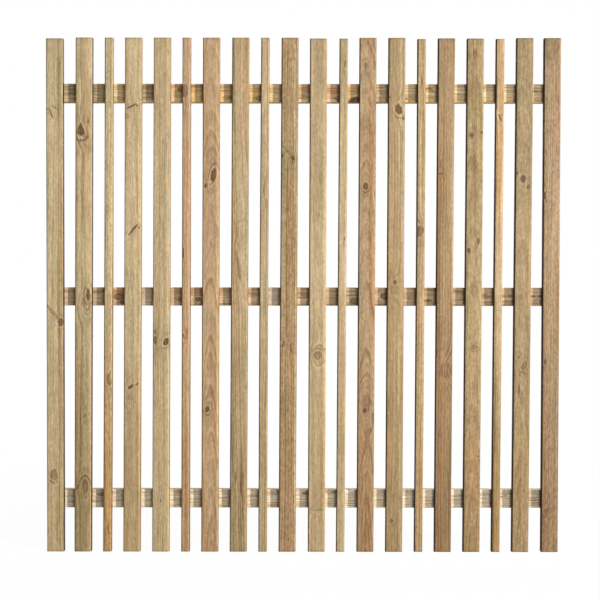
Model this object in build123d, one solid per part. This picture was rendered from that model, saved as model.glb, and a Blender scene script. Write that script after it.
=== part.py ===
"""Slatted timber fence panel: upright slats in a wide, wide, narrow rhythm on three level rails.

Millimetres, +Z up, +X along the panel. The slats' fronts face -Y and the rails are behind them, towards +Y.
The origin is on the ground line, midway along the panel's width and midway through its thickness.
"""

import os

from build123d import *

# Overall
PANEL_WIDTH = 1800.0
PANEL_HEIGHT = 1800.0

# Slats: each group is a run of wide slats closed by one narrow slat, and a last run of wide slats ends the panel
GROUP_COUNT = 6
WIDE_SLATS_PER_GROUP = 2
WIDE_SLAT_WIDTH = 60.0
NARROW_SLAT_WIDTH = 30.0
SLAT_THICKNESS = 20.0
SLAT_ARRIS_RADIUS = 5.0

# Rails: heights are from the slats' nearer ends to the rail's centre line
RAIL_HEIGHT = 65.0
RAIL_THICKNESS = 24.0
RAIL_ARRIS_RADIUS = 1.5
BOTTOM_RAIL_RISE = 183.0
TOP_RAIL_DROP = 188.0

# Staples: one at each crossing, driven from behind, crown turned out of line with the rail's grain
STAPLE_CROWN = 12.0
STAPLE_WIRE = 1.6
STAPLE_POINT = 3.0
STAPLE_SINK = 0.6
STAPLE_TURN = 30.0
STAPLE_COVER = 5.0  # wood left between a staple's points and the slat's front

# Planes through the panel's thickness
FRONT_Y = -(SLAT_THICKNESS + RAIL_THICKNESS) / 2
SEAM_Y = FRONT_Y + SLAT_THICKNESS
BACK_Y = SEAM_Y + RAIL_THICKNESS

CROWN_Y = BACK_Y - STAPLE_SINK
POINT_Y = FRONT_Y + STAPLE_COVER


def slat_layout():
    """Width and centre of each slat from left to right, with equal gaps over the panel's width."""
    wide_run = [WIDE_SLAT_WIDTH] * WIDE_SLATS_PER_GROUP
    widths = (wide_run + [NARROW_SLAT_WIDTH]) * GROUP_COUNT + wide_run
    gap = (PANEL_WIDTH - sum(widths)) / (len(widths) - 1)
    layout = []
    left = -PANEL_WIDTH / 2
    for width in widths:
        layout.append((width, left + width / 2))
        left += width + gap
    return layout


def rail_layout():
    """Name and centre height of each rail: the middle one is midway between the outer two."""
    bottom = BOTTOM_RAIL_RISE
    top = PANEL_HEIGHT - TOP_RAIL_DROP
    return [("bottom_rail", bottom), ("middle_rail", (bottom + top) / 2), ("top_rail", top)]


def make_slat(width, centre_x):
    """An upright board with rounded long edges and square-sawn ends."""
    section = RectangleRounded(width, SLAT_THICKNESS, SLAT_ARRIS_RADIUS)
    return extrude(Pos(centre_x, (FRONT_Y + SEAM_Y) / 2) * section, PANEL_HEIGHT)


def make_rail(centre_z):
    """A level board, as long as the panel is wide, with its long edges just broken."""
    section = RectangleRounded(RAIL_THICKNESS, RAIL_HEIGHT, RAIL_ARRIS_RADIUS)
    centre = Plane.YZ * Pos((SEAM_Y + BACK_Y) / 2, centre_z)
    return extrude(centre * section, PANEL_WIDTH / 2, both=True)


def make_staple(centre_x, centre_z, crown_top_y):
    """A U of square wire with chisel points. Its legs point to the slat's front."""
    outer = STAPLE_CROWN / 2
    inner = outer - STAPLE_WIRE
    crown_under_y = CROWN_Y - STAPLE_WIRE
    outline = Polyline(
        (-outer, crown_top_y),
        (outer, crown_top_y),
        (outer, POINT_Y),
        (inner, POINT_Y + STAPLE_POINT),
        (inner, crown_under_y),
        (-inner, crown_under_y),
        (-inner, POINT_Y + STAPLE_POINT),
        (-outer, POINT_Y),
        close=True,
    )
    wire = extrude(make_face(outline), STAPLE_WIRE / 2, both=True)
    return Pos(centre_x, 0, centre_z) * Rot(0, STAPLE_TURN, 0) * wire


slats = slat_layout()
rails = rail_layout()
nodes = {}

for number, (width, centre_x) in enumerate(slats, start=1):
    slots = [make_staple(centre_x, centre_z, BACK_Y) for _, centre_z in rails]
    nodes[f"slat_{number:02d}"] = make_slat(width, centre_x) - slots

for name, centre_z in rails:
    slots = [make_staple(centre_x, centre_z, BACK_Y) for _, centre_x in slats]
    nodes[name] = make_rail(centre_z) - slots
    nodes[f"{name}_staples"] = Compound([make_staple(centre_x, centre_z, CROWN_Y) for _, centre_x in slats])

os.makedirs("parts", exist_ok=True)
for name, shape in nodes.items():
    shape.label = name
    export_step(shape, f"parts/{name}.step")
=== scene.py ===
"""Slatted timber fence panel: upright planed slats, wide and narrow in turn, stapled to three sawn rails."""

import math

import bpy
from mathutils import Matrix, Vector


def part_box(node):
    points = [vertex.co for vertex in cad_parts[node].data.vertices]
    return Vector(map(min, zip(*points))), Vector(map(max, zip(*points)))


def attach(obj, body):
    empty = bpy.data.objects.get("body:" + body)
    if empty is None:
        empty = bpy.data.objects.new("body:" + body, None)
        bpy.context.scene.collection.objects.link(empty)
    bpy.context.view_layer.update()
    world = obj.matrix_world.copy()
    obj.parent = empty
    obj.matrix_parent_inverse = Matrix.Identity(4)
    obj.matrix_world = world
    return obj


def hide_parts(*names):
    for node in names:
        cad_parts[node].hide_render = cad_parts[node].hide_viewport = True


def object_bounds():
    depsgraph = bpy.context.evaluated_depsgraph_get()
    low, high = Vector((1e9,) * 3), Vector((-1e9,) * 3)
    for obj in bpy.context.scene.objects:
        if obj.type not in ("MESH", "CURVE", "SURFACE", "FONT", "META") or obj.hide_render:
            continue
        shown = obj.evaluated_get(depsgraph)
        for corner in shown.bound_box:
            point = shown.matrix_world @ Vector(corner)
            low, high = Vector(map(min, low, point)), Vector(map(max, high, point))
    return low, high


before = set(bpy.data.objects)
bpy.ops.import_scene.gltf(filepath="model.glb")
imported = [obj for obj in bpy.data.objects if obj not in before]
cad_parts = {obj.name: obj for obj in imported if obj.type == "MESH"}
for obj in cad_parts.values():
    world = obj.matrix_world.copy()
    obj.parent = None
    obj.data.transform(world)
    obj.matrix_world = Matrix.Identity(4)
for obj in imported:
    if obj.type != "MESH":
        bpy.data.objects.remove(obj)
cad_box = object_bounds()

# Rails
# Three level lengths of sawn softwood, laid down first, with the slats fixed across their fronts.
# They keep the marks of the saw and the dents that the staples' crowns leave in their backs.

RAILS = ["bottom_rail", "middle_rail", "top_rail"]
SLATS = sorted(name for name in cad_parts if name.startswith("slat_"))
MILLIMETRE = 0.001
STAPLE_CROWN = 12 * MILLIMETRE
STAPLE_TURN = math.radians(30)


class Wiring:
    """Lays out one node tree: makes its named sockets, adds nodes and joins them."""

    KINDS = {
        float: "NodeSocketFloat",
        int: "NodeSocketInt",
        tuple: "NodeSocketVector",
        list: "NodeSocketColor",
        str: "NodeSocketGeometry",
        type(None): "NodeSocketMaterial",
    }

    def __init__(self, tree, inputs=None, outputs=None):
        self.tree = tree
        for name, value in (inputs or {}).items():
            socket = tree.interface.new_socket(name, in_out="INPUT", socket_type=self.KINDS[type(value)])
            if isinstance(value, (float, int, tuple, list)):
                socket.default_value = value
        for name, value in (outputs or {}).items():
            tree.interface.new_socket(name, in_out="OUTPUT", socket_type=self.KINDS[type(value)])
        if inputs:
            self.given = tree.nodes.new("NodeGroupInput").outputs
        if outputs:
            self.result = tree.nodes.new("NodeGroupOutput").inputs

    def feed(self, socket, value):
        if isinstance(value, bpy.types.NodeSocket):
            self.tree.links.new(value, socket)
        else:
            socket.default_value = value

    def add(self, kind, feeds=None, **settings):
        node = self.tree.nodes.new(kind)
        for name, value in settings.items():
            setattr(node, name, value)
        for name, value in (feeds or {}).items():
            self.feed(node.inputs[name], value)
        return node

    def math(self, operation, *feeds):
        return self.add("ShaderNodeMath", dict(enumerate(feeds)), operation=operation).outputs[0]

    def vector(self, operation, *feeds):
        node = self.add("ShaderNodeVectorMath", dict(enumerate(feeds)), operation=operation)
        return node.outputs["Value" if operation == "LENGTH" else "Vector"]

    def split(self, vector):
        return self.add("ShaderNodeSeparateXYZ", {0: vector}).outputs

    def join(self, x=0.0, y=0.0, z=0.0):
        return self.add("ShaderNodeCombineXYZ", {0: x, 1: y, 2: z}).outputs[0]

    def ease(self, value, start, end, low=0.0, high=1.0):
        """A smooth step from low to high as value goes from start to end."""
        feeds = {"Value": value, "From Min": start, "From Max": end, "To Min": low, "To Max": high}
        return self.add("ShaderNodeMapRange", feeds, interpolation_type="SMOOTHSTEP").outputs[0]

    def noise(self, point, scale, seed=0.0, detail=2.0):
        """Cloudy values about a half, stretched by a scale along each axis."""
        place = self.vector("MULTIPLY", point, scale)
        feeds = {"Vector": place, "W": seed, "Scale": 1.0, "Detail": detail}
        return self.add("ShaderNodeTexNoise", feeds, noise_dimensions="4D").outputs[0]

    def mix(self, amount, first, second, blend="MIX"):
        node = self.add("ShaderNodeMix", {0: amount, 6: first, 7: second}, data_type="RGBA", blend_type=blend)
        return node.outputs[2]

    def group(self, tree, feeds):
        """Places a node group with these inputs and returns its outputs by name."""
        node = self.add("ShaderNodeGroup", node_tree=tree)
        for name, value in feeds.items():
            self.feed(node.inputs[name], value)
        return {socket.name: socket for socket in node.outputs}


def colour(red, green, blue):
    """A screen colour, 0 to 255, as the linear colour that a shader takes."""
    shares = [part / 255 for part in (red, green, blue)]
    return [s / 12.92 if s <= 0.04045 else ((s + 0.055) / 1.055) ** 2.4 for s in shares] + [1.0]


def growth_rings_group():
    """Rings round a pith behind the board's face, and its streaks, in the board's own millimetres."""
    tree = bpy.data.node_groups.new("growth_rings", "ShaderNodeTree")
    w = Wiring(
        tree,
        {"Point": (0, 0, 0), "Pith": (0, 0, 0), "Slope": (0, 0, 0), "Ring width": 4.0, "Wobble": 6.0,
         "Swell": 0.0, "Seed": 0.0},
        {"Latewood": 0.0, "Heart": 0.0, "Fibre": 0.0, "Olive streak": 0.0, "Rose streak": 0.0, "Fleck": 0.0,
         "Cloud": 0.0, "Mottle": 0.0},
    )
    point, seed = w.given["Point"], w.given["Seed"]
    along = w.split(point)[2]
    pith = w.vector("MULTIPLY_ADD", w.given["Slope"], w.join(along, along, along), w.given["Pith"])
    offset = w.vector("MULTIPLY", w.vector("SUBTRACT", point, pith), (1, 1, 0))
    drift = w.math("SUBTRACT", w.noise(point, (0.016, 0.016, 0.0024), seed, detail=3.0), 0.5)
    wobble = w.math("MULTIPLY", drift, w.math("MULTIPLY", w.given["Wobble"], 2.0))
    radius = w.math("SUBTRACT", w.math("ADD", w.vector("LENGTH", offset), wobble), w.given["Swell"])
    age = w.math("DIVIDE", radius, w.given["Ring width"])
    uneven = w.noise(w.join(age, seed), (0.45, 7.0, 0), seed, detail=1.0)
    age = w.math("ADD", age, w.math("MULTIPLY", uneven, 2.5))
    phase = w.math("FRACT", age)
    band = w.math("MULTIPLY", w.ease(phase, 0.15, 0.85), w.ease(phase, 0.88, 1.0, 1.0, 0.0))
    lot = w.add("ShaderNodeTexWhiteNoise", {"W": w.math("FLOOR", age)}, noise_dimensions="1D").outputs[0]
    ring = w.math("MULTIPLY_ADD", lot, 0.75, 0.25)
    patch = w.ease(w.noise(point, (0.05, 0.05, 0.004), seed), 0.3, 0.65, 0.45, 1.0)
    w.feed(w.result["Latewood"], w.math("MULTIPLY", w.math("MULTIPLY", band, ring), patch))
    w.feed(w.result["Heart"], w.ease(radius, -3.0, 3.0, 1.0, 0.0))
    w.feed(w.result["Fibre"], w.noise(point, (0.30, 0.30, 0.018), seed, detail=5.0))
    olive = w.noise(point, (0.085, 0.085, 0.0018), w.math("ADD", seed, 40.0), detail=3.0)
    rose = w.noise(point, (0.060, 0.060, 0.0014), w.math("ADD", seed, 80.0), detail=3.0)
    w.feed(w.result["Olive streak"], w.ease(olive, 0.44, 0.66))
    w.feed(w.result["Rose streak"], w.ease(rose, 0.46, 0.68))
    w.feed(w.result["Fleck"], w.ease(w.noise(point, (0.28, 0.28, 0.030), seed, detail=1.0), 0.70, 0.80))
    w.feed(w.result["Cloud"], w.noise(point, (0.035, 0.035, 0.008), w.math("ADD", seed, 20.0), detail=4.0))
    w.feed(w.result["Mottle"], w.noise(point, (0.17, 0.17, 0.075), w.math("ADD", seed, 60.0), detail=3.0))
    return tree


def branch_knot_group():
    """One knot added to those before it: core, bark rim and outer ring, stain, halo and the rings' swell."""
    carried = {"Swell": 0.0, "Core": 0.0, "Rim": 0.0, "Stain": 0.0, "Halo": 0.0}
    shape = {
        "Place": (0, 0, 0), "Radius": 8.0, "Stretch": 1.0, "Slant": 0.0, "Taper": 0.0, "Ring": 0.0,
        "Depth": 1.0,
    }
    tree = bpy.data.node_groups.new("branch_knot", "ShaderNodeTree")
    w = Wiring(tree, {"Point": (0, 0, 0), "Ragged": 0.0, **shape, **carried}, carried)
    given = w.given
    radius, depth, ragged = given["Radius"], given["Depth"], given["Ragged"]
    offset = w.split(w.vector("SUBTRACT", given["Point"], given["Place"]))
    rise = w.math("SUBTRACT", offset[2], w.math("MULTIPLY", offset[0], given["Slant"]))
    along = w.math("DIVIDE", rise, w.math("MULTIPLY", radius, given["Stretch"]))
    narrow = w.math("MULTIPLY_ADD", w.math("MULTIPLY", along, given["Taper"]), -0.7, 1.0)
    across = w.math("DIVIDE", w.math("DIVIDE", offset[0], radius), w.math("MAXIMUM", narrow, 0.25))
    reach = w.math("MULTIPLY_ADD", ragged, 0.85, w.vector("LENGTH", w.join(across, along)))

    def fade(wide, tall):
        spread = w.vector("LENGTH", w.join(w.math("DIVIDE", across, wide), w.math("DIVIDE", along, tall)))
        return w.math("EXPONENT", w.math("MULTIPLY", w.math("MULTIPLY", spread, spread), -1.0))

    def hoop(inner, middle, outer):
        return w.math("MULTIPLY", w.ease(reach, inner, middle), w.ease(reach, middle, outer, 1.0, 0.0))

    core = w.math("MULTIPLY", w.ease(reach, 0.75, 1.15, 1.0, 0.0), depth)
    rim = w.math("MULTIPLY", hoop(0.6, 0.95, 1.35), depth)
    side = w.math("MULTIPLY", w.math("MULTIPLY_ADD", ragged, 1.5, along), w.math("SIGN", given["Ring"]))
    shown = w.math("MULTIPLY", w.math("ABSOLUTE", given["Ring"]), w.ease(side, 0.8, -1.2, 0.15, 1.0))
    rim = w.math("MAXIMUM", rim, w.math("MULTIPLY", hoop(1.65, 2.0, 2.4), shown))
    swell = w.math("MULTIPLY", fade(1.9, 2.6), w.math("MULTIPLY", radius, 1.4))
    stain = w.math("MULTIPLY", fade(1.6, 3.2), depth)
    halo = w.math("MULTIPLY", hoop(1.05, 1.5, 2.4), depth)
    w.feed(w.result["Swell"], w.math("ADD", given["Swell"], swell))
    w.feed(w.result["Core"], w.math("MAXIMUM", given["Core"], core))
    w.feed(w.result["Rim"], w.math("MAXIMUM", given["Rim"], rim))
    w.feed(w.result["Stain"], w.math("MAXIMUM", given["Stain"], stain))
    w.feed(w.result["Halo"], w.math("MAXIMUM", given["Halo"], halo))
    return tree


def grain_band_group():
    """A long streak of another tone over the ground tone, between two heights, wavering along the grain."""
    tree = bpy.data.node_groups.new("grain_band", "ShaderNodeTree")
    white = [1.0, 1.0, 1.0, 1.0]
    w = Wiring(
        tree,
        {"Point": (0, 0, 0), "Ground": white, "Tone": white, "Across": 0.0, "Width": 10.0, "Low": 0.0,
         "High": 1800.0, "Amount": 1.0},
        {"Colour": white},
    )
    given = w.given
    point, across, width = given["Point"], given["Across"], given["Width"]
    place = w.split(point)
    waver = w.math("SUBTRACT", w.noise(point, (0.004, 0.004, 0.004), across), 0.5)
    offset = w.math("MULTIPLY_ADD", waver, width, w.math("SUBTRACT", place[0], across))
    near = w.ease(w.math("DIVIDE", w.math("ABSOLUTE", offset), width), 0.25, 0.65, 1.0, 0.0)
    soft = w.math("MINIMUM", w.math("MULTIPLY", w.math("SUBTRACT", given["High"], given["Low"]), 0.3), 90.0)
    begun = w.ease(place[2], given["Low"], w.math("ADD", given["Low"], soft))
    ended = w.ease(place[2], w.math("SUBTRACT", given["High"], soft), given["High"], 1.0, 0.0)
    streaks = w.ease(w.noise(point, (0.20, 0.20, 0.008), across, detail=3.0), 0.36, 0.58, 0.35, 1.0)
    amount = w.math("MULTIPLY", w.math("MULTIPLY", near, streaks), w.math("MULTIPLY", begun, ended))
    amount = w.math("MULTIPLY", amount, given["Amount"])
    w.feed(w.result["Colour"], w.mix(amount, given["Ground"], given["Tone"]))
    return tree


def timber_finish_group():
    """The colour, roughness and relief of a treated softwood face, from its grain, knots, stains and ends,
    and its side tones, partly painted shade.
    """
    tree = bpy.data.node_groups.new("timber_finish", "ShaderNodeTree")
    white = [1.0, 1.0, 1.0, 1.0]
    w = Wiring(
        tree,
        {"Latewood": 0.0, "Heart": 0.0, "Fibre": 0.5, "Olive streak": 0.0, "Rose streak": 0.0, "Fleck": 0.0,
         "Cloud": 0.5, "Mottle": 0.5, "Core": 0.0, "Rim": 0.0, "Stain": 0.0, "Halo": 0.0, "Foot": 0.0,
         "Cut end": 0.0, "Left side shade": 0.0, "Right side shade": 0.0, "Left shade tone": white, "Right shade tone": white,
         "Earlywood": white, "Latewood tone": white, "Heart tone": white, "Olive tone": white,
         "Rose tone": white, "Foot tone": white, "Knot tone": white, "Rim tone": white, "Olive": 0.5,
         "Rose": 0.5, "Fuzz": 0.1, "Mottling": 0.9},
        {"Colour": white, "Roughness": 0.5, "Height": 0.0},
    )
    given = w.given

    def stain(amount, ground, tone):
        return w.mix(amount, ground, w.mix(1.0, ground, tone, "MULTIPLY"))

    tone = w.mix(given["Heart"], given["Earlywood"], given["Heart tone"])
    crowded = w.math("MULTIPLY", given["Latewood"], w.math("MULTIPLY_ADD", given["Stain"], 0.9, 1.0))
    tone = stain(crowded, tone, given["Latewood tone"])
    tone = stain(w.math("MULTIPLY", given["Olive streak"], given["Olive"]), tone, given["Olive tone"])
    tone = stain(w.math("MULTIPLY", given["Rose streak"], given["Rose"]), tone, given["Rose tone"])
    tone = stain(given["Foot"], tone, given["Foot tone"])
    # Both long sides take their side tones: partly a darker sawn edge, partly painted shade.
    tone = stain(given["Left side shade"], tone, given["Left shade tone"])
    tone = stain(given["Right side shade"], tone, given["Right shade tone"])
    tone = stain(w.math("MULTIPLY", given["Fleck"], 0.5), tone, given["Latewood tone"])
    tone = w.mix(w.math("MULTIPLY", given["Stain"], 0.22), tone, given["Knot tone"])
    heartwood = w.ease(given["Fibre"], 0.3, 0.7, 0.97, 0.78)
    tone = w.mix(w.math("MULTIPLY", given["Core"], heartwood), tone, given["Knot tone"])
    tone = w.mix(w.math("MULTIPLY", given["Rim"], 0.7), tone, given["Rim tone"])
    grain = w.math("SUBTRACT", given["Fibre"], 0.5)
    bright = w.math("MULTIPLY_ADD", w.math("SUBTRACT", given["Cloud"], 0.5), 0.55, 1.0)
    bright = w.math("MULTIPLY_ADD", w.math("SUBTRACT", given["Mottle"], 0.5), given["Mottling"], bright)
    bright = w.math("MULTIPLY_ADD", grain, given["Fuzz"], bright)
    bright = w.math("MULTIPLY_ADD", given["Halo"], 0.24, bright)
    bright = w.math("MULTIPLY", bright, w.math("MULTIPLY_ADD", given["Cut end"], -0.35, 1.0))
    w.feed(w.result["Colour"], w.vector("MULTIPLY", tone, w.join(bright, bright, bright)))
    rough = w.math("MULTIPLY_ADD", grain, 0.25, 0.66)
    w.feed(w.result["Roughness"], w.math("MULTIPLY_ADD", given["Core"], -0.12, rough))
    relief = w.math("MULTIPLY_ADD", given["Latewood"], 0.08, w.math("MULTIPLY", grain, given["Fuzz"]))
    w.feed(w.result["Height"], w.math("MULTIPLY_ADD", given["Rim"], -0.15, relief))
    return tree


growth_rings = growth_rings_group()
branch_knot = branch_knot_group()
grain_band = grain_band_group()
timber_finish = timber_finish_group()

SHARED_TONES = {
    "Knot tone": colour(98, 69, 49),
    "Rim tone": colour(76, 54, 36),
    "Olive tone": colour(208, 216, 186),
    "Rose tone": colour(240, 208, 184),
}


def knot(height, across, radius, stretch=1.2, slant=0.0, depth=1.0, taper=0.0, ring=0.0):
    """A knot's place up the board and across it from its middle, and its size, in millimetres."""
    return {
        "Place": (across, 0, height),
        "Radius": float(radius),
        "Stretch": stretch,
        "Slant": slant,
        "Depth": depth,
        "Taper": taper,
        "Ring": ring,
    }


def band(across, width, tone, amount=0.7, low=-100, high=1900):
    """A streak's place across the board from its middle, its width and its two ends, in millimetres."""
    return {
        "Across": float(across),
        "Width": float(width),
        "Tone": tone,
        "Amount": amount,
        "Low": float(low),
        "High": float(high),
    }


END_STAIN = 9.0
# Each slat is darker towards its foot: the darkening starts at this height and is full at the next, in
# millimetres.
FOOT_DARKENING_TOP = 1100.0
FOOT_DARKENING_FULL = 100.0
TIMBER_SHEEN = 0.3


def timber_material(name, origin, level, length, tones, rings, knots, bands):
    """Timber with its own pith, tones and knots. A level board runs along X and an upright one along Z."""
    material = bpy.data.materials.new(name)
    material.use_nodes = True
    w = Wiring(material.node_tree)
    shader = material.node_tree.nodes["Principled BSDF"]
    here = w.add("ShaderNodeTexCoord").outputs["Object"]
    point = w.vector("DIVIDE", w.vector("SUBTRACT", here, origin), (MILLIMETRE,) * 3)
    facing = w.split(w.add("ShaderNodeNewGeometry").outputs["Normal"])
    end_facing, edge_facing = (facing[0], facing[2]) if level else (facing[2], facing[0])
    if level:
        x, y, z = w.split(point)
        point = w.join(z, y, x)
    ragged = w.math("SUBTRACT", w.noise(point, (0.13, 0.13, 0.13), rings["Seed"], detail=3.0), 0.5)
    grown = {}
    for each in knots:
        grown = w.group(branch_knot, {"Point": point, "Ragged": ragged, **each, **grown})
    tones = dict(tones)
    for each in bands:
        ground = {"Point": point, "Ground": tones["Earlywood"]}
        tones["Earlywood"] = w.group(grain_band, {**ground, **each})["Colour"]
    rings = dict(rings)
    if grown:
        rings["Swell"] = grown.pop("Swell")
    figure = w.group(growth_rings, {"Point": point, **rings})
    height = w.split(point)[2]
    nearest_end = w.math("MINIMUM", height, w.math("SUBTRACT", length / MILLIMETRE, height))
    end_grain = w.ease(w.math("ABSOLUTE", end_facing), 0.5, 0.9)
    cut = {
        "Cut end": w.math("MAXIMUM", w.ease(nearest_end, 0.0, END_STAIN, 0.8, 0.0), end_grain),
        "Foot": w.ease(height, FOOT_DARKENING_TOP, FOOT_DARKENING_FULL),
        # Faces turned to the left or right long side, for the side tones: partly a darker sawn edge, partly
        # painted shade.
        "Left side shade": w.ease(edge_facing, -0.12, -0.50),
        "Right side shade": w.ease(edge_facing, 0.62, 0.90),
    }
    finish = w.group(timber_finish, {**figure, **grown, **cut, **SHARED_TONES, **tones})
    relief = w.add("ShaderNodeBump", {"Height": finish["Height"], "Distance": MILLIMETRE, "Strength": 1.0})
    w.feed(shader.inputs["Base Color"], finish["Colour"])
    w.feed(shader.inputs["Roughness"], finish["Roughness"])
    w.feed(shader.inputs["Normal"], relief.outputs["Normal"])
    shader.inputs["Specular IOR Level"].default_value = TIMBER_SHEEN
    return material


DENT_FLOOR = 1.5 * MILLIMETRE
DENT_REACH = 8 * MILLIMETRE


def board_tree():
    """A length of timber along Z: a rounded section, bent by its crook, uneven, and dented by staples."""
    tree = bpy.data.node_groups.new("timber_board", "GeometryNodeTree")
    w = Wiring(
        tree,
        {"Staples": "", "Width": 0.06, "Thickness": 0.02, "Length": 1.8, "Arris": 0.003, "Arris steps": 4,
         "Face steps": 4, "Grid": 0.012, "Lean": 0.0, "Crook": 0.0, "Unevenness": 0.0002, "Dent": 0.0,
         "Seed": 0.0, "Turn": (0, 0, 0), "Foot": (0, 0, 0), "Timber": None},
        {"Board": ""},
    )
    given = w.given
    section = w.add(
        "GeometryNodeCurvePrimitiveQuadrilateral", {"Width": given["Width"], "Height": given["Thickness"]}
    ).outputs[0]
    eased = w.add("GeometryNodeFilletCurve", mode="POLY")
    for socket, value in {"Curve": section, "Radius": given["Arris"], "Count": given["Arris steps"]}.items():
        w.feed(eased.inputs[socket], value)
    corner_points = w.math("ADD", given["Arris steps"], 1.0)
    turn = w.math("MODULO", w.add("GeometryNodeInputIndex").outputs[0], corner_points)
    at_face = w.math("COMPARE", turn, given["Arris steps"], 0.1)
    cuts = w.math("MULTIPLY", at_face, given["Face steps"])
    profile = w.add("GeometryNodeSubdivideCurve", {"Curve": eased.outputs[0], "Cuts": cuts}).outputs[0]
    line = w.add("GeometryNodeCurvePrimitiveLine", {"End": w.join(0.0, 0.0, given["Length"])}).outputs[0]
    path = w.add("GeometryNodeResampleCurve", mode="LENGTH")
    w.feed(path.inputs["Curve"], line)
    w.feed(path.inputs["Length"], given["Grid"])
    swept = w.add(
        "GeometryNodeCurveToMesh", {"Curve": path.outputs[0], "Profile Curve": profile, "Fill Caps": True}
    ).outputs[0]

    place = w.add("GeometryNodeInputPosition").outputs[0]
    normal = w.add("GeometryNodeInputNormal").outputs[0]
    share = w.math("DIVIDE", w.split(place)[2], given["Length"])
    crook = w.math("MULTIPLY", w.math("SINE", w.math("MULTIPLY", share, math.pi)), given["Crook"])
    bend = w.math("MULTIPLY_ADD", w.math("SUBTRACT", share, 0.5), given["Lean"], crook)
    rough = w.math("MULTIPLY", w.noise(place, (70, 70, 45), given["Seed"]), given["Unevenness"])
    near = w.add("GeometryNodeProximity", {0: given["Staples"]}, target_element="EDGES")
    near_share = w.ease(near.outputs["Distance"], DENT_FLOOR, DENT_REACH, 1.0, 0.0)
    pressed = w.math("MULTIPLY", w.math("MULTIPLY", near_share, near.outputs["Is Valid"]), given["Dent"])
    depth = w.math("MULTIPLY", w.math("ADD", rough, pressed), -1.0)
    inward = w.vector("MULTIPLY", normal, w.join(depth, depth, depth))
    shift = w.vector("ADD", inward, w.join(bend))
    bent = w.add("GeometryNodeSetPosition", {"Geometry": swept, "Offset": shift}).outputs[0]
    cap = w.ease(w.math("ABSOLUTE", w.split(normal)[2]), 0.9, 0.95)
    side = w.math("SUBTRACT", 1.0, cap)
    shaded = w.add("GeometryNodeSetShadeSmooth", {"Geometry": bent, "Shade Smooth": side}).outputs[0]
    placed = w.add(
        "GeometryNodeTransform", {"Geometry": shaded, "Rotation": given["Turn"], "Translation": given["Foot"]}
    ).outputs[0]
    whole = w.add("GeometryNodeRealizeInstances", {0: placed}).outputs[0]
    finished = w.add("GeometryNodeSetMaterial", {"Geometry": whole, "Material": given["Timber"]}).outputs[0]
    w.feed(w.result["Board"], finished)
    return tree


timber_board = board_tree()


def make_board(name, material, inputs, staple_lines=()):
    """Runs the board tree with these inputs and keeps its result as a plain mesh."""
    points = [end for line in staple_lines for end in line]
    edges = [(2 * i, 2 * i + 1) for i in range(len(staple_lines))]
    marks = bpy.data.meshes.new(name + "_marks")
    marks.from_pydata(points, edges, [])
    board = bpy.data.objects.new(name + "_board", marks)
    bpy.context.scene.collection.objects.link(board)
    nodes = board.modifiers.new("timber_board", "NODES")
    nodes.node_group = timber_board
    values = {**inputs, "Timber": material}
    for socket in timber_board.interface.items_tree:
        if socket.in_out == "INPUT" and socket.name in values:
            nodes[socket.identifier] = values[socket.name]
    evaluated = board.evaluated_get(bpy.context.evaluated_depsgraph_get())
    mesh = bpy.data.meshes.new_from_object(evaluated)
    board.modifiers.remove(nodes)
    board.data = mesh
    bpy.data.meshes.remove(marks)
    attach(board, "root")
    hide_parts(name)
    return board


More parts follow.
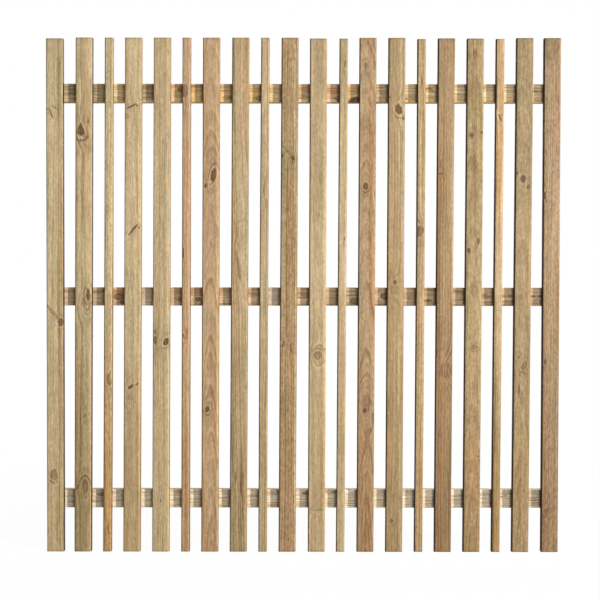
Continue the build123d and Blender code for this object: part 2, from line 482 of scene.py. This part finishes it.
FRESH_CREAM = colour(246, 228, 188)
GOLD = colour(244, 200, 118)
RUST_BROWN = colour(206, 148, 104)
MOSS_GREY = colour(150, 136, 104)
SILVER = colour(216, 208, 190)
PLUM_BROWN = colour(180, 146, 120)
RAIL_ARRIS = 1.5 * MILLIMETRE
SAWN_GRID = 3 * MILLIMETRE
SAWN_UNEVENNESS = 0.5 * MILLIMETRE
STAPLE_DENT = 1.0 * MILLIMETRE
RAIL_TIMBER = {
    "bottom_rail": {
        "tone": colour(250, 234, 204),
        "olive": 0.4,
        "rose": 0.1,
        "knots": [
            knot(185, 14, 6, 1.6, 0.0, 0.6), knot(910, 20, 6, 2.0, 0.3, 0.6),
            knot(1008, 24, 5, 2.0, 0.0, 0.5), knot(1602, 8, 3, 2.0, 0.0, 0.7),
        ],
        "bands": [
            band(-28, 10, GOLD, 0.6, 480, 920), band(12, 12, FRESH_CREAM, 0.9, 215, 300),
            band(24, 8, MOSS_GREY, 0.35, 60, 700), band(-10, 14, MOSS_GREY, 0.6, 60, 210),
            band(0, 60, MOSS_GREY, 0.7, 1660, 1850),
        ],
    },
    "middle_rail": {
        "tone": colour(230, 203, 165),
        "olive": 0.7,
        "rose": 0.5,
        "knots": [
            knot(252, 0, 11, 1.4, 0.0, 0.6), knot(262, -20, 6, 1.2, 0.0, 0.8),
            knot(470, -10, 8, 1.4, 0.0, 0.6), knot(528, -10, 7, 1.2, 0.0, 0.7, 0.0, 0.6),
            knot(1080, -16, 9, 1.5, 0.0, 0.7), knot(1188, 2, 11, 1.2, 0.0, 0.8),
            knot(1340, -14, 5, 2.5, 0.0, 0.6), knot(1628, 4, 3, 2.6, 0.0, 0.8),
            knot(1712, 2, 3, 2.6, 0.0, 0.8), knot(1732, 2, 3, 2.6, 0.0, 0.8),
        ],
        "bands": [
            band(16, 32, PLUM_BROWN, 0.85, 400, 790), band(-4, 10, FRESH_CREAM, 0.8, 420, 860),
            band(-28, 9, MOSS_GREY, 0.7, 420, 1500), band(0, 60, MOSS_GREY, 0.45, 40, 220),
            band(-2, 80, SILVER, 0.9, 765, 835), band(0, 80, SILVER, 0.9, 310, 400),
            band(18, 28, PLUM_BROWN, 0.7, 860, 950), band(0, 80, MOSS_GREY, 0.5, 960, 1120),
            band(0, 80, MOSS_GREY, 0.3, 1220, 1700), band(0, 70, RUST_BROWN, 0.5, 200, 310),
        ],
    },
    "top_rail": {
        "tone": colour(245, 219, 172),
        "olive": 0.6,
        "rose": 0.4,
        "knots": [
            knot(472, 12, 9, 1.4, 0.0, 0.6), knot(640, -16, 6, 1.4, 0.0, 0.4),
            knot(744, -18, 7, 1.4, 0.0, 0.5), knot(1086, -24, 9, 2.2, 0.0, 1.0),
            knot(1068, -28, 6, 1.6, 0.0, 0.9), knot(1262, -20, 3, 1.4, 0.0, 0.9),
            knot(1340, 16, 4, 2.2, 0.0, 0.6), knot(1532, 18, 3.5, 1.4, 0.0, 0.7),
            knot(1715, 6, 2.5, 4.0, 0.0, 0.7),
        ],
        "bands": [
            band(-6, 54, GOLD, 0.8, 420, 830), band(0, 60, RUST_BROWN, 0.6, 850, 1110),
            band(26, 14, MOSS_GREY, 0.7, 420, 760), band(-26, 9, FRESH_CREAM, 0.9, 860, 1040),
            band(-26, 12, GOLD, 0.7, 1160, 1800), band(14, 16, MOSS_GREY, 0.2, 1150, 1800),
            band(2, 80, MOSS_GREY, 0.95, 20, 225), band(2, 80, MOSS_GREY, 0.9, 290, 440),
            band(0, 80, MOSS_GREY, 0.6, 1110, 1240), band(0, 60, GOLD, 0.6, 1030, 1115),
            band(4, 60, FRESH_CREAM, 0.5, 1380, 1850),
        ],
    },
}

for number, name in enumerate(RAILS):
    low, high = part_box(name)
    middle = (low + high) / 2
    length = high.x - low.x
    foot = Vector((low.x, middle.y, middle.z))
    lines = []
    for upright in SLATS:
        slat_low, slat_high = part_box(upright)
        along = (slat_low.x + slat_high.x) / 2 - low.x
        reach = Vector((-math.sin(STAPLE_TURN), 0, math.cos(STAPLE_TURN))) * STAPLE_CROWN / 2
        crown = Vector((0, (high.y - low.y) / 2, along))
        lines.append((crown - reach, crown + reach))
    material = timber_material(
        name + "_timber",
        foot,
        level=True,
        length=length,
        tones={
            "Earlywood": RAIL_TIMBER[name]["tone"],
            "Latewood tone": colour(196, 178, 154),
            "Heart tone": RAIL_TIMBER[name]["tone"],
            "Olive tone": colour(214, 208, 200),
            "Olive": RAIL_TIMBER[name]["olive"],
            "Rose": RAIL_TIMBER[name]["rose"],
            "Fuzz": 0.8,
        },
        rings={
            "Pith": (20.0 - 20 * number, 30.0, 0),
            "Slope": (0.004, 0.015, 0),
            "Ring width": 4.5,
            "Seed": 3.0 + number,
        },
        knots=RAIL_TIMBER[name]["knots"],
        bands=RAIL_TIMBER[name]["bands"],
    )
    board = make_board(
        name,
        material,
        {
            "Width": high.z - low.z,
            "Thickness": high.y - low.y,
            "Length": length,
            "Arris": RAIL_ARRIS,
            "Arris steps": 3,
            "Face steps": 12,
            "Grid": SAWN_GRID,
            "Unevenness": SAWN_UNEVENNESS,
            "Dent": STAPLE_DENT,
            "Seed": float(number),
            "Turn": (0, math.pi / 2, 0),
            "Foot": foot,
        },
        lines,
    )

# Slats
# Upright boards of planed, pressure-treated softwood with rounded long edges and square-sawn ends.
# Each is its own piece of timber, with its own tone, grain and knots, stapled to the rails from behind.

SLAT_ARRIS = 5 * MILLIMETRE
PLANED_GRID = 12 * MILLIMETRE
PLANED_UNEVENNESS = 0.2 * MILLIMETRE
STRAW = colour(206, 185, 147)
OLIVE = colour(190, 168, 132)
HONEY = colour(188, 162, 122)
ROSE = colour(195, 165, 130)
UMBER = colour(182, 154, 117)
HEART_TAN = colour(168, 132, 94)
LATEWOOD = colour(192, 170, 142)
CREAM = colour(220, 200, 160)
PEACH = colour(220, 178, 130)
# A painted highlight: golden stripes along some slats' right arris, where the key light catches it.
GILT_HIGHLIGHT = colour(228, 190, 134)
SAGE = colour(172, 162, 124)
MOSS = colour(140, 122, 84)
LICHEN = colour(152, 144, 110)
RUST = colour(172, 126, 88)
BLUSH = colour(188, 138, 108)
# Foot tones: how much darker each slat becomes towards its foot.
FAINT_FOOT = colour(246, 244, 240)
GREY_FOOT = colour(234, 230, 223)
DARK_FOOT = colour(221, 214, 205)
ORANGE_FOOT = colour(236, 214, 186)
BROWN_FOOT = colour(208, 188, 162)
# Tones of the slats' long sides: partly a darker sawn edge, partly painted shade.
PALE_SIDE_SHADE = colour(226, 216, 200)
SAWN_SIDE_AND_SHADE = colour(176, 162, 142)
BROWN_SIDE_SHADE = colour(128, 106, 80)
DARK_SIDE_SHADE = colour(70, 54, 38)


def slat(
    tone,
    pith,
    slope=(0.006, 0.0),
    ring=6.0,
    grain=1.0,
    shade=1.0,
    olive=0.5,
    rose=0.4,
    mottle=0.9,
    foot=FAINT_FOOT,
    # left and right tone the two long sides: partly a darker sawn edge, partly painted shade.
    left=BROWN_SIDE_SHADE,
    right=SAWN_SIDE_AND_SHADE,
    lean=2.5,
    crook=0.0,
    shift=0.0,
    short=0.0,
    bands=(),
    knots=(),
):
    """One board's timber, its streaks and knots, and in millimetres how it leans, bows and is misplaced."""
    return {
        "tones": {
            "Earlywood": [part * shade for part in tone[:3]] + [1.0],
            "Latewood tone": [1.0 - (1.0 - part) * grain for part in LATEWOOD],
            "Heart tone": HEART_TAN,
            "Foot tone": foot,
            "Left shade tone": left,
            "Right shade tone": right,
            "Olive": olive,
            "Rose": rose,
            "Fuzz": 1.0,
            "Mottling": mottle,
        },
        "rings": {"Pith": (*pith, 0), "Slope": (*slope, 0), "Ring width": ring},
        "bands": bands,
        "knots": knots,
        "lean": 2 * lean * MILLIMETRE,
        "crook": crook * MILLIMETRE,
        "shift": shift * MILLIMETRE,
        "short": short * MILLIMETRE,
    }


TIMBER = [
    slat(
        STRAW, (-60, 45), grain=0.5, shade=0.96, olive=0.7, left=PALE_SIDE_SHADE, right=DARK_SIDE_SHADE, lean=1.2,
        shift=1.3, short=3.0,
        bands=[
            band(15, 6, MOSS, 0.6), band(23, 12, MOSS, 0.35), band(22, 8, RUST, 0.4, 250, 1400),
            band(-8, 8, CREAM, 0.5, 900, 1700),
        ],
        knots=[
            knot(1538, -12, 8, 0.8, -2.0, 0.75), knot(1555, 4, 11, 0.3, -0.7, 0.5),
            knot(1551, -27, 4, 1.0, 0.0, 0.9), knot(863, -26, 4, 1.2, 0.0, 0.7),
            knot(840, -6, 18, 0.5, -1.1, 0.4), knot(807, 20, 8, 1.5, 0.0, 0.95, 0.0, -0.6),
            knot(272, -5, 11, 1.7, 0.0, 0.45, 0.4), knot(245, -11, 9, 0.3, -0.7),
            knot(246, 5, 3, 1.0, 0.0, 0.5),
        ],
    ),
    slat(
        STRAW, (10, 60), shade=0.93, olive=0.7, foot=DARK_FOOT, left=PALE_SIDE_SHADE, right=DARK_SIDE_SHADE, lean=5.2,
        bands=[
            band(2, 18, SAGE, 0.6, -100, 1000), band(-22, 9, SAGE, 0.5),
            # The golden band at the right edge is a painted highlight along the arris.
            band(12, 6, CREAM, 0.5, 1000, 1450), band(22, 7, GILT_HIGHLIGHT, 0.6),
        ],
        knots=[
            knot(1482, -7, 9, 2.2, 0.0, 1.0, 0.8, 1.0), knot(1509, 19, 2.5, 3.0, 0.0, 0.8),
            knot(905, 17, 6, 3.0, 0.0, 0.9), knot(882, 5, 5, 1.2, -2.0, 0.8),
            knot(890, 8, 11, 2.0, 0.0, 0.25, 0.6, -0.7), knot(480, 3, 4, 2.5, 0.0, 0.6),
            knot(232, 4, 10, 1.7, 0.0, 0.15, 0.0, -1.0), knot(228, -22, 5, 1.6, 1.0, 0.7),
        ],
    ),
    slat(
        STRAW, (40, 40), shade=0.96, mottle=1.3, foot=ORANGE_FOOT, left=PALE_SIDE_SHADE, lean=5.7, crook=1.0,
        bands=[
            band(8, 9, CREAM, 0.8, 650, 1600), band(-12, 5, MOSS, 0.6),
        ],
        knots=[
            knot(1213, 0, 7, 0.25, 0.0, 0.4), knot(1195, 0, 7, 0.25, 0.0, 0.4),
            knot(607, 2, 7, 2.4, -0.6, 0.6), knot(590, 5, 5, 0.5, -1.0, 0.6),
            knot(73, 0, 6, 1.0, -2.5, 0.5),
        ],
    ),
    slat(
        STRAW, (-20, 70), grain=0.5, shade=1.0, olive=0.5, foot=DARK_FOOT, left=PALE_SIDE_SHADE, lean=5.4,
        bands=[
            # The golden band at the right edge is a painted highlight along the arris.
            band(0, 14, ROSE, 0.5, 900, 1300), band(-16, 10, SAGE, 0.3, 300, 700), band(22, 7, GILT_HIGHLIGHT, 0.6),
        ],
        knots=[
            knot(1561, -2, 16, 0.25, 0.5, 0.85), knot(1564, 18, 3.5, 1.0),
            knot(1527, -18, 9, 1.0, 0.0, 0.3), knot(1133, 4, 15, 0.4, 1.17, 0.9),
            knot(1139, 24, 3, 1.0, 0.0, 0.8), knot(581, -7, 9, 0.6, 0.6), knot(590, 16, 5, 0.9, 0.6, 0.8),
            knot(545, -8, 9, 1.2, 0.0, 0.25),
        ],
    ),
    slat(
        STRAW, (50, 50), grain=0.5, shade=0.90, olive=0.3, left=PALE_SIDE_SHADE, lean=4.7,
        bands=[
            band(9, 14, SAGE, 0.8, 950, 1500), band(-19, 9, CREAM, 0.5, 900, 1600),
            # The golden band at the right edge is a painted highlight along the arris.
            band(-12, 6, ROSE, 0.5, 0, 900), band(12, 12, SAGE, 0.4, -100, 950), band(23, 6, GILT_HIGHLIGHT, 0.7),
            band(-4, 80, SAGE, 0.55, 670, 830),
        ],
        knots=[
            knot(744, -22, 6, 2.2, 0.0, 0.8, 0.0, -0.7), knot(739, 16, 9, 1.2, 0.5, 1.0, 0.0, 0.7),
            knot(777, -22, 5, 1.2, 0.0, 0.4), knot(181, -4, 2, 3.5, 0.0, 0.9),
        ],
    ),
    slat(
        ROSE, (-40, 40), shade=1.03, olive=0.2, rose=0.8, foot=GREY_FOOT, left=PALE_SIDE_SHADE, right=BROWN_SIDE_SHADE,
        lean=3.7,
        bands=[
            band(8, 8, PEACH, 0.9, 250, 1450), band(-5, 9, SAGE, 0.5, 250, 700),
            band(4, 8, RUST, 0.5, 650, 900), band(0, 50, STRAW, 0.6, -100, 330),
        ],
        knots=[
            knot(1615, -2, 9, 2.3, 0.0, 0.55), knot(1050, -11, 5, 3.0, 0.0, 0.8),
            knot(756, -6, 4, 2.2, -1.2, 0.5), knot(770, 4, 4, 5.0, 0.0, 0.35),
        ],
    ),
    slat(
        ROSE, (3, 22), slope=(0.0, 0.045), ring=4.0, grain=0.85, shade=0.96, olive=0.3, lean=4.2,
        bands=[
            band(-22, 7, PEACH, 0.6), band(-13, 6, SAGE, 0.5, 300, 1000), band(15, 8, BLUSH, 0.3, 300, 900),
            # The golden band at the right edge is a painted highlight along the arris.
            band(23, 7, GILT_HIGHLIGHT, 0.7), band(15, 5, MOSS, 0.25),
        ],
        knots=[
            knot(1321, 11, 9, 2.2, 0.7, 1.0, 0.0, -0.8), knot(1285, -16, 5, 1.5, 0.5, 0.9),
            knot(1268, 0, 10, 1.0, 0.0, 0.25), knot(502, -12, 7, 1.4, 0.0, 1.0, 0.0, 0.9),
        ],
    ),
    slat(
        OLIVE, (60, 50), slope=(-0.02, 0.0), shade=1.08, olive=0.5, mottle=1.0, foot=GREY_FOOT,
        left=DARK_SIDE_SHADE, lean=5.2,
        bands=[
            band(-24, 14, LICHEN, 0.7, -100, 800), band(5, 10, LICHEN, 0.7, -100, 420),
            band(10, 30, LICHEN, 0.3, -100, 900), band(18, 8, CREAM, 0.4, 900, 1900),
        ],
        knots=[
            knot(1040, -10, 5, 4.0, -1.0, 0.4), knot(989, -2, 7, 4.0, -2.0, 0.4),
            knot(260, -14, 2.5, 8.0, 0.0, 0.8), knot(225, 4, 2.5, 8.0, 0.0, 0.5),
        ],
    ),
    slat(
        STRAW, (30, 40), shade=0.90, foot=GREY_FOOT, lean=5.2, crook=-1.0,
        bands=[
            band(-5, 8, PEACH, 0.5, 930, 1250), band(0, 11, SAGE, 0.6, 780, 1000),
            band(6, 6, CREAM, 0.5, 1200, 1900),
        ],
        knots=[
            knot(1272, 2, 5, 4.0, 0.0, 0.3),
        ],
    ),
    slat(
        UMBER, (-70, 40), grain=1.1, shade=1.0, olive=0.8, mottle=1.5, lean=5.2,
        bands=[
            band(6, 22, RUST, 0.15, 650, 1330), band(-8, 8, SAGE, 0.7, 200, 720),
            band(10, 7, RUST, 0.7, 150, 800), band(-20, 9, SAGE, 0.6, 700, 1400),
            # The cream band at the right edge is a painted highlight along the arris.
            band(22, 8, CREAM, 0.6, 100, 1900), band(0, 80, SAGE, 0.55, 1330, 1460),
        ],
        knots=[
            knot(1388, -23, 5, 1.3, 0.0, 0.9), knot(1406, -5, 8, 0.5, -0.4, 0.6),
            knot(1381, 15, 6, 1.2, 0.0, 0.9, 0.0, 0.5), knot(1395, 4, 5, 1.0, 0.0, 0.4),
            knot(732, -18, 6, 1.3, 1.0, 0.7), knot(715, 8, 4, 3.0, -1.0, 0.5),
        ],
    ),
    slat(
        STRAW, (10, 80), shade=0.92, olive=0.2, lean=3.2, short=2.5,
        bands=[
            # The golden band at the right edge is a painted highlight along the arris.
            band(25, 8, GILT_HIGHLIGHT, 0.8), band(-6, 20, CREAM, 0.6, 200, 1300), band(15, 7, SAGE, 0.6),
        ],
        knots=[
            knot(692, 2, 13, 0.9, 0.0, 0.5, 0.0, -0.6), knot(1477, -2, 2, 3.5, 0.0, 0.5),
            knot(148, 0, 24, 0.1, 0.06, 0.45), knot(110, 7, 2.5, 7.0, 0.0, 0.4),
            knot(125, -9, 2.0, 6.0, 0.0, 0.35),
        ],
    ),
    slat(
        STRAW, (-30, 40), grain=0.3, shade=0.95, mottle=0.8, foot=GREY_FOOT, lean=5.2, short=2.7,
        bands=[
            band(-8, 8, SAGE, 0.5, -100, 950), band(0, 40, MOSS, 0.6, 1520, 1900),
            band(7, 6, ROSE, 0.4, 200, 1300),
        ],
        knots=[
            knot(1710, 10, 4, 3.0, 0.0, 0.6), knot(1100, 9, 3, 2.0, 0.0, 0.5),
        ],
    ),
    slat(
        ROSE, (0, 20), slope=(0.0, 0.05), ring=4.0, shade=0.88, rose=0.7, mottle=1.1, foot=GREY_FOOT,
        left=DARK_SIDE_SHADE, lean=3.8,
        bands=[
            band(22, 6, PEACH, 0.7, 300, 1350), band(12, 5, MOSS, 0.5, 480, 1000),
            band(-4, 30, UMBER, 0.8, -100, 900), band(0, 80, STRAW, 0.4, 1480, 1900),
        ],
        knots=[
            knot(1700, -4, 4, 3.0, 0.0, 0.5, -0.9), knot(1284, -4, 8, 1.35, 0.0, 1.0, 0.0, 0.9),
            knot(498, -6, 6.5, 1.25), knot(525, 0, 14, 2.0, 0.0, 0.3), knot(470, 23, 4, 6.0, 0.0, 0.6),
            knot(530, 16, 12, 0.25, -1.5, 0.5),
        ],
    ),
    slat(
        HONEY, (40, 60), grain=0.7, shade=0.95, foot=GREY_FOOT, left=DARK_SIDE_SHADE, lean=3.8,
        bands=[
            band(17, 13, CREAM, 0.6), band(-20, 7, PEACH, 0.5, 280, 1150),
            band(24, 5, MOSS, 0.5, -100, 900),
        ],
        knots=[
            knot(1552, 10, 11, 1.4, -0.3, 1.0, 0.0, 0.7), knot(1519, 27, 4, 1.0, 0.0, 0.9),
            knot(1594, -25, 4, 1.2, 0.0, 0.9), knot(949, -2, 6, 1.2, 0.0, 0.9),
            knot(110, -12, 5, 1.2, 0.0, 0.8), knot(925, -6, 12, 1.5, 0.0, 0.2),
        ],
    ),
    slat(
        HONEY, (-40, 30), shade=1.03, rose=0.6, mottle=1.2, left=DARK_SIDE_SHADE, lean=3.7, crook=1.0, short=3.8,
        bands=[
            band(-4, 7, SAGE, 0.7, 280, 820), band(6, 7, PEACH, 0.8, 250, 950),
            band(0, 9, CREAM, 0.6, 1150, 1900), band(0, 50, MOSS, 0.4, 1050, 1180),
        ],
        knots=[
            knot(1127, 0, 8, 2.0, 0.0, 0.5), knot(1131, 10, 3, 3.0, 0.0, 0.7),
            knot(1648, 5, 3, 2.0, 0.0, 0.5),
        ],
    ),
    slat(
        UMBER, (55, 35), shade=0.95, olive=0.5, rose=0.7, mottle=1.0, foot=DARK_FOOT, left=DARK_SIDE_SHADE,
        lean=4.4, short=1.5,
        bands=[
            band(-16, 20, RUST, 0.8, -100, 850), band(25, 7, MOSS, 0.7, -100, 950),
            band(25, 8, CREAM, 0.6, 850, 1650),
        ],
        knots=[
            knot(1328, -18, 10, 0.25, 0.0, 0.85), knot(698, -27, 3, 4.0, 0.0, 0.8),
            knot(640, 5, 18, 1.4, 0.0, 0.3), knot(1360, -22, 8, 2.0, 0.6, 0.2),
        ],
    ),
    slat(
        HONEY, (0, 20), slope=(0.0, 0.05), ring=6.0, grain=0.55, shade=0.96, olive=0.7, mottle=1.3,
        foot=GREY_FOOT, left=DARK_SIDE_SHADE, lean=4.5, short=2.0,
        bands=[
            band(0, 14, RUST, 0.7, 1130, 1470), band(-14, 7, SAGE, 0.9, 1090, 1420),
            band(17, 8, SAGE, 0.9, 1040, 1420), band(0, 70, MOSS, 0.15, 1500, 1900),
            band(-4, 12, PEACH, 0.5, 150, 700),
        ],
        knots=[
            knot(1462, -10, 6, 0.9, 0.0, 0.95, 0.0, -0.6), knot(1471, 26, 4, 1.2, 0.0, 0.9),
            knot(1740, 2, 5, 3.0, 0.0, 0.5, -0.8), knot(1093, 17, 5, 2.0, 0.0, 0.8),
            knot(1060, -17, 6, 1.3, 0.0, 0.9), knot(720, 4, 10, 0.7, 0.0, 0.35, 0.0, 0.7),
            knot(338, 19, 3, 1.3, 0.0, 0.9), knot(100, 13, 2, 14.0, 0.0, 0.4),
        ],
    ),
    slat(
        STRAW, (30, 50), shade=1.0, rose=0.6, mottle=1.0, foot=BROWN_FOOT, left=DARK_SIDE_SHADE, lean=5.0,
        short=3.0,
        bands=[
            band(-2, 44, PEACH, 0.6, 1080, 1900), band(0, 8, SAGE, 0.3, 950, 1250), band(11, 8, PEACH, 0.7),
            band(-8, 8, CREAM, 0.8, 900, 1900),
        ],
        knots=[
            knot(1522, 5, 6, 1.0, -1.6, 0.9),
        ],
    ),
    slat(
        HONEY, (-5, 20), slope=(0.0, 0.05), ring=4.5, grain=0.55, shade=0.84, olive=0.6, mottle=1.2,
        left=DARK_SIDE_SHADE, lean=4.9,
        bands=[
            band(23, 6, PEACH, 0.7, 850, 1260), band(14, 11, MOSS, 0.4, 1560, 1900),
            band(25, 7, MOSS, 0.4, -100, 750),
        ],
        knots=[
            knot(1310, 0, 8, 1.5, 0.0, 0.95), knot(1330, -21, 4.5, 1.1), knot(1283, 19, 6, 1.3, 0.0, 0.7),
            knot(657, 6, 9, 1.3, 0.6, 0.55, 0.0, 0.6), knot(632, 6, 12, 0.25, -0.6, 0.5),
            knot(686, -14, 3, 2.0, 0.0, 0.8), knot(568, -11, 2, 12.0, 0.0, 0.7),
        ],
    ),
    slat(
        ROSE, (45, 45), shade=0.86, rose=0.6, mottle=1.4, foot=DARK_FOOT, left=DARK_SIDE_SHADE, lean=1.2,
        shift=-1.3,
        bands=[
            band(17, 7, SAGE, 0.7, -100, 850), band(26, 7, RUST, 0.5, -100, 1000),
            band(-8, 60, MOSS, 0.7, 1690, 1900), band(12, 24, BLUSH, 0.8, 1735, 1795),
        ],
        knots=[
            knot(1768, 11, 12, 1.4, 0.0, 0.2), knot(1252, -27, 6, 2.0, 0.0, 0.95, 0.0, 0.5),
            knot(670, -20, 5, 1.5, 0.0, 0.9), knot(147, -11, 7, 0.8, 0.5, 0.8),
            knot(135, -18, 9, 1.5, 0.0, 0.4),
        ],
    ),
]

for number, (name, timber) in enumerate(zip(SLATS, TIMBER)):
    low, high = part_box(name)
    middle = (low + high) / 2
    foot = Vector((middle.x + timber["shift"], middle.y, low.z))
    length = high.z - low.z - timber["short"]
    material = timber_material(
        name + "_timber",
        foot,
        level=False,
        length=length,
        tones=timber["tones"],
        rings={**timber["rings"], "Seed": 11.0 + number},
        knots=timber["knots"],
        bands=timber["bands"],
    )
    board = make_board(
        name,
        material,
        {
            "Width": high.x - low.x,
            "Thickness": high.y - low.y,
            "Length": length,
            "Arris": SLAT_ARRIS,
            "Arris steps": 5,
            "Face steps": 3,
            "Grid": PLANED_GRID,
            "Lean": timber["lean"],
            "Crook": timber["crook"],
            "Unevenness": PLANED_UNEVENNESS,
            "Seed": 20.0 + number,
            "Foot": foot,
        },
    )

# Staples
# One U of galvanised wire at each crossing, driven from behind until its crown is just below the rail's face.
# The solids keep their shape: the wire only needs its dull zinc finish.

galvanised = bpy.data.materials.new("galvanised_wire")
galvanised.use_nodes = True
zinc = Wiring(galvanised.node_tree)
zinc_shader = galvanised.node_tree.nodes["Principled BSDF"]
zinc_point = zinc.add("ShaderNodeTexCoord").outputs["Object"]
spangle = zinc.noise(zinc_point, (900, 900, 900), 1.0)
zinc_shader.inputs["Metallic"].default_value = 1.0
zinc.feed(zinc_shader.inputs["Base Color"], zinc.mix(spangle, colour(150, 152, 152), colour(205, 207, 206)))
zinc.feed(zinc_shader.inputs["Roughness"], zinc.ease(spangle, 0.2, 0.8, 0.3, 0.55))
for name in RAILS:
    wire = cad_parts[name + "_staples"]
    wire.data.materials.clear()
    wire.data.materials.append(galvanised)

# Floor and light
# A pale studio floor that runs out into a white backdrop, a warm key low on the right, a soft box in front
# on the right, another behind for the back, and a faint cool fill that is weakest on the left.

scene = bpy.context.scene
scene.view_settings.view_transform = "Standard"

FLOOR_REACH = 40.0
SHADED_REACH = 0.9
WHITE_REACH = 2.4
SHADED_WHITENESS = 0.965
WEAK_FILL = 0.04
STRONG_FILL = 0.28
COOL_WHITE = (0.90, 0.95, 1.0, 1)
floor_mesh = bpy.data.meshes.new("floor")
floor_corners = [(-1, -1), (1, -1), (1, 1), (-1, 1)]
floor_mesh.from_pydata([(x * FLOOR_REACH, y * FLOOR_REACH, 0) for x, y in floor_corners], [], [(0, 1, 2, 3)])
floor = bpy.data.objects.new("floor", floor_mesh)
scene.collection.objects.link(floor)


def seen_directly(w):
    """One where the camera sees a surface, also in a mirror or through glass, and nought for other light."""
    rays = w.add("ShaderNodeLightPath").outputs
    mirrored = w.math("MAXIMUM", rays["Is Glossy Ray"], rays["Is Transmission Ray"])
    return w.math("MAXIMUM", rays["Is Camera Ray"], mirrored)


pale_floor = bpy.data.materials.new("pale_floor")
pale_floor.use_nodes = True
pale_floor.node_tree.nodes.remove(pale_floor.node_tree.nodes["Principled BSDF"])
floor_mesh.materials.append(pale_floor)
w = Wiring(pale_floor.node_tree)
white = w.add("ShaderNodeEmission", {"Color": (1, 1, 1, 1), "Strength": 1.0})
seen = seen_directly(w)
matt = w.add("ShaderNodeBsdfDiffuse", {"Color": w.mix(seen, colour(140, 140, 140), colour(250, 250, 250))})
reach = w.vector("LENGTH", w.add("ShaderNodeTexCoord").outputs["Object"])
whiteness = w.math("MULTIPLY", seen, w.ease(reach, SHADED_REACH, WHITE_REACH, SHADED_WHITENESS, 1.0))
blend = w.add("ShaderNodeMixShader", {0: whiteness, 1: matt.outputs[0], 2: white.outputs[0]})
w.feed(pale_floor.node_tree.nodes["Material Output"].inputs["Surface"], blend.outputs[0])

world = bpy.data.worlds.new("studio")
scene.world = world
world.use_nodes = True
w = Wiring(world.node_tree)
toward = w.split(w.add("ShaderNodeTexCoord").outputs["Generated"])[0]
cool = w.ease(toward, -0.6, 0.8, WEAK_FILL, STRONG_FILL)
fill = w.add("ShaderNodeBackground", {"Color": COOL_WHITE, "Strength": cool})
white = w.add("ShaderNodeBackground", {"Color": (1, 1, 1, 1), "Strength": 1.0})
blend = w.add("ShaderNodeMixShader", {0: seen_directly(w), 1: fill.outputs[0], 2: white.outputs[0]})
w.feed(world.node_tree.nodes["World Output"].inputs["Surface"], blend.outputs[0])


def add_lamp(name, kind, place, target, energy, tint, **settings):
    """A lamp at a place, turned to face a target."""
    data = bpy.data.lights.new(name, kind)
    data.energy = energy
    data.color = tint
    for setting, value in settings.items():
        setattr(data, setting, value)
    lamp = bpy.data.objects.new(name, data)
    lamp.location = place
    lamp.rotation_euler = (Vector(target) - Vector(place)).to_track_quat("-Z", "Y").to_euler()
    scene.collection.objects.link(lamp)


KEY_TURN = math.radians(59.4)
KEY_RISE = math.radians(28)
KEY_REACH = 4
KEY_STRENGTH = 4.1
KEY_SPREAD = math.radians(2)
WARM_WHITE = (1.0, 0.97, 0.93)
PLAIN_WHITE = (1, 1, 1)
FRONT_WATTS = 46
FRONT_PLACE = (1.6, -3.2, 1.0)
FRONT_TARGET = (0.2, 0, 0.85)
FRONT_BOX = {"shape": "RECTANGLE", "size": 1.5, "size_y": 0.8}
BACK_WATTS = 100
BACK_PLACE = (1.2, 3.4, 2.4)
BACK_BOX = {"shape": "RECTANGLE", "size": 2.0, "size_y": 1.5}
PANEL_MIDDLE = (0, 0, 0.9)
key_place = (
    KEY_REACH * math.sin(KEY_TURN),
    -KEY_REACH * math.cos(KEY_TURN),
    PANEL_MIDDLE[2] + KEY_REACH * math.tan(KEY_RISE),
)
add_lamp("key_sun", "SUN", key_place, PANEL_MIDDLE, KEY_STRENGTH, WARM_WHITE, angle=KEY_SPREAD)
add_lamp("front_soft_box", "AREA", FRONT_PLACE, FRONT_TARGET, FRONT_WATTS, PLAIN_WHITE, **FRONT_BOX)
add_lamp("back_soft_box", "AREA", BACK_PLACE, PANEL_MIDDLE, BACK_WATTS, PLAIN_WHITE, **BACK_BOX)

# Camera
# Just right of the panel's middle and at half its height, looking square at it and slightly down, so that
# the left slats show their right sides and the right ones show their left sides.

FRAME_PIXELS = 600
CAMERA_ASIDE = 0.08
CAMERA_REACH = 3.0
CAMERA_HEIGHT = 0.943
CAMERA_DIP = 0.92
CAMERA_ROLL = -0.07
METRE_PIXELS = 285.7
AXIS_ACROSS = 325.8
AXIS_DOWN = 297.5
camera_data = bpy.data.cameras.new("camera")
camera_data.sensor_width = 36
camera_data.lens = camera_data.sensor_width * CAMERA_REACH * METRE_PIXELS / FRAME_PIXELS
camera_data.shift_x = (FRAME_PIXELS / 2 - AXIS_ACROSS) / FRAME_PIXELS
camera_data.shift_y = (AXIS_DOWN - FRAME_PIXELS / 2) / FRAME_PIXELS
camera = bpy.data.objects.new("camera", camera_data)
camera.location = (CAMERA_ASIDE, cad_box[0][1] - CAMERA_REACH, CAMERA_HEIGHT)
camera.rotation_euler = (math.radians(90 - CAMERA_DIP), math.radians(CAMERA_ROLL), 0)
scene.collection.objects.link(camera)
scene.camera = camera
